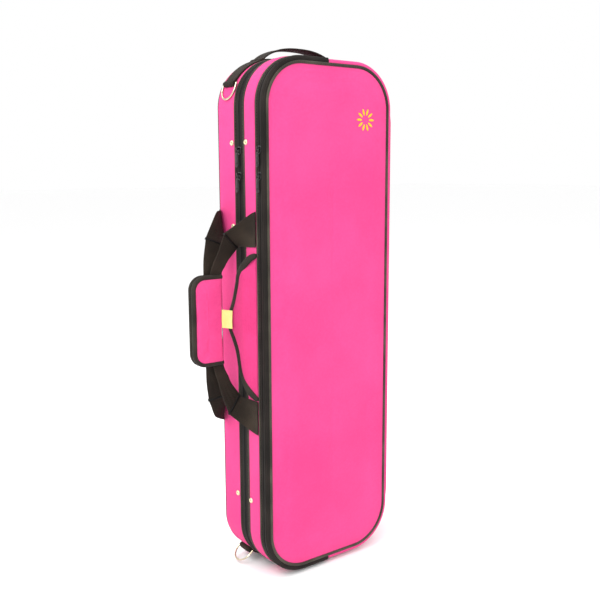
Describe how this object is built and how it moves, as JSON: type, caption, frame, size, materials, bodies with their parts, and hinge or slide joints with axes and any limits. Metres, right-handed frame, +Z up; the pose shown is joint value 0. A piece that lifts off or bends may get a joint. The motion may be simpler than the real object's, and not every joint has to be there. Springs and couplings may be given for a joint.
{
  "type": "violin case",
  "caption": "Oblong zipped violin case standing on its end, with side handle wrap, front music pocket, end handle, strap rings and fitted interior",
  "frame": {"origin": "on the floor plane, under the middle of the whole object's bounding box; the case stands on the feet of its lower end", "axes": "+Z up along the case's length, -Y out of the front panel, -X towards the carrying handle, +X towards the fabric hinges"},
  "size_m": [0.3338, 0.124, 0.8214],
  "materials": {
    "pink_canvas": "woven polyester shell cloth, bright pink, slight sheen",
    "pink_padding": "padded pink shell cloth over thin foam",
    "black_binding": "black grosgrain binding over cord",
    "zip_tape": "black woven zip tape",
    "zip_chain": "black nylon coil",
    "webbing": "brown-black woven nylon webbing",
    "foam": "closed-cell foam shell core",
    "plush": "short-pile plush lining",
    "metal": "warm nickel-plated steel wire",
    "brass": "polished brass",
    "slider_metal": "black lacquered zinc",
    "label": "pale yellow woven label, plain",
    "hook_tape": "black hook-and-loop tape",
    "spinner_plastic": "moulded black plastic"
  },
  "bodies": {
    "base": {"base_chain": "zip_chain", "base_zip_tape": "zip_tape", "base_cover": "pink_canvas", "base_core": "foam", "rear_piping": "black_binding", "rear_panel": "pink_padding", "base_lining": "plush", "cavity_insert": "plush", "tail_pad": "plush", "shoulder_pad": "plush", "neck_cradle": "plush", "neck_strap": "webbing", "base_strap": "webbing", "wrap_back": "pink_canvas", "wrap_binding_back": "black_binding", "wrap_hook_tape": "hook_tape", "base_rivets": "brass", "base_feet": "brass", "end_handle": "webbing", "end_handle_tab": "webbing", "upper_ring_tab": "webbing", "lower_ring_tab": "webbing", "main_hinge_tape": "black_binding"},
    "lid": {"pocket_chain_rear": "zip_chain", "pocket_tape": "zip_tape", "lid_cover": "pink_canvas", "lid_core": "foam", "lid_lining": "plush", "lid_zip_tape": "zip_tape", "lid_chain": "zip_chain", "bow_sleeves": "webbing", "lid_strap": "webbing", "wrap_front": "pink_canvas", "wrap_binding_front": "black_binding", "wrap_loop_tape": "hook_tape", "security_flap": "pink_canvas", "flap_binding": "black_binding", "label_tab": "label", "lid_rivets": "brass", "lid_feet": "brass", "pocket_hinge_tape": "black_binding"},
    "pocket_cover": {"front_piping": "black_binding", "pocket_panel": "pink_padding", "pocket_cover_tape": "zip_tape", "pocket_chain_front": "zip_chain"},
    "accessory_door": {"accessory_lid": "plush", "accessory_pull": "webbing"},
    "spinner_left": {"bow_spinner_left": "spinner_plastic"},
    "spinner_right": {"bow_spinner_right": "spinner_plastic"},
    "ring_upper": {"upper_ring": "metal"},
    "ring_lower": {"lower_ring": "metal"},
    "main_slider_upper_body": {"main_slider_upper": "slider_metal"},
    "main_pull_upper_body": {"main_pull_upper": "slider_metal"},
    "main_slider_lower_body": {"main_slider_lower": "slider_metal"},
    "main_pull_lower_body": {"main_pull_lower": "slider_metal"},
    "pocket_slider_upper_body": {"pocket_slider_upper": "slider_metal"},
    "pocket_pull_upper_body": {"pocket_pull_upper": "slider_metal"},
    "pocket_slider_lower_body": {"pocket_slider_lower": "slider_metal"},
    "pocket_pull_lower_body": {"pocket_pull_lower": "slider_metal"}
  },
  "joints": [
    {"name": "lid_hinge", "type": "hinge", "parent": "base", "child": "lid", "pos_m": [0.16595, -0.001, 0.4], "axis": [0, 0, 1], "range_deg": [0, 105], "deforming": ["main_hinge_tape"]},
    {"name": "pocket_hinge", "type": "hinge", "parent": "lid", "child": "pocket_cover", "pos_m": [0.16415, -0.052, 0.4], "axis": [0, 0, 1], "range_deg": [0, 95], "deforming": ["pocket_hinge_tape"]},
    {"name": "accessory_hinge", "type": "hinge", "parent": "base", "child": "accessory_door", "pos_m": [0.14415, 0.0206, 0.4], "axis": [0, 0, 1], "range_deg": [0, 80]},
    {"name": "bow_spinner_left_turn", "type": "hinge", "parent": "lid", "child": "spinner_left", "pos_m": [-0.00885, -0.0258, 0.7], "axis": [0, 1, 0], "range_deg": [0, 90]},
    {"name": "bow_spinner_right_turn", "type": "hinge", "parent": "lid", "child": "spinner_right", "pos_m": [0.09115, -0.0258, 0.7], "axis": [0, 1, 0], "range_deg": [0, 90]},
    {"name": "upper_ring_swing", "type": "hinge", "parent": "base", "child": "ring_upper", "pos_m": [-0.07734, 0.031, 0.75835], "axis": [0, 1, 0], "range_deg": [0, 80]},
    {"name": "lower_ring_swing", "type": "hinge", "parent": "base", "child": "ring_lower", "pos_m": [-0.06124, 0.031, 0.02104], "axis": [0, 1, 0], "range_deg": [0, 75]},
    {"name": "main_zip_upper_slide", "type": "slide", "parent": "base", "child": "main_slider_upper_body", "axis": [0, 0, 1], "range_m": [0, 0.04]},
    {"name": "main_pull_upper_swing", "type": "hinge", "parent": "main_slider_upper_body", "child": "main_pull_upper_body", "pos_m": [-0.0875, -0.001, 0.663], "axis": [0, 1, 0], "range_deg": [0, 120]},
    {"name": "main_zip_lower_slide", "type": "slide", "parent": "base", "child": "main_slider_lower_body", "axis": [0, 0, 1], "range_m": [-0.48, 0]},
    {"name": "main_pull_lower_swing", "type": "hinge", "parent": "main_slider_lower_body", "child": "main_pull_lower_body", "pos_m": [-0.0875, -0.001, 0.626], "axis": [0, 1, 0], "range_deg": [0, 120]},
    {"name": "pocket_zip_upper_slide", "type": "slide", "parent": "lid", "child": "pocket_slider_upper_body", "axis": [0, 0, 1], "range_m": [0, 0.04]},
    {"name": "pocket_pull_upper_swing", "type": "hinge", "parent": "pocket_slider_upper_body", "child": "pocket_pull_upper_body", "pos_m": [-0.0855, -0.052, 0.663], "axis": [0, 1, 0], "range_deg": [0, 120]},
    {"name": "pocket_zip_lower_slide", "type": "slide", "parent": "lid", "child": "pocket_slider_lower_body", "axis": [0, 0, 1], "range_m": [-0.48, 0]},
    {"name": "pocket_pull_lower_swing", "type": "hinge", "parent": "pocket_slider_lower_body", "child": "pocket_pull_lower_body", "pos_m": [-0.0855, -0.052, 0.626], "axis": [0, 1, 0], "range_deg": [0, 120]}
  ]
}
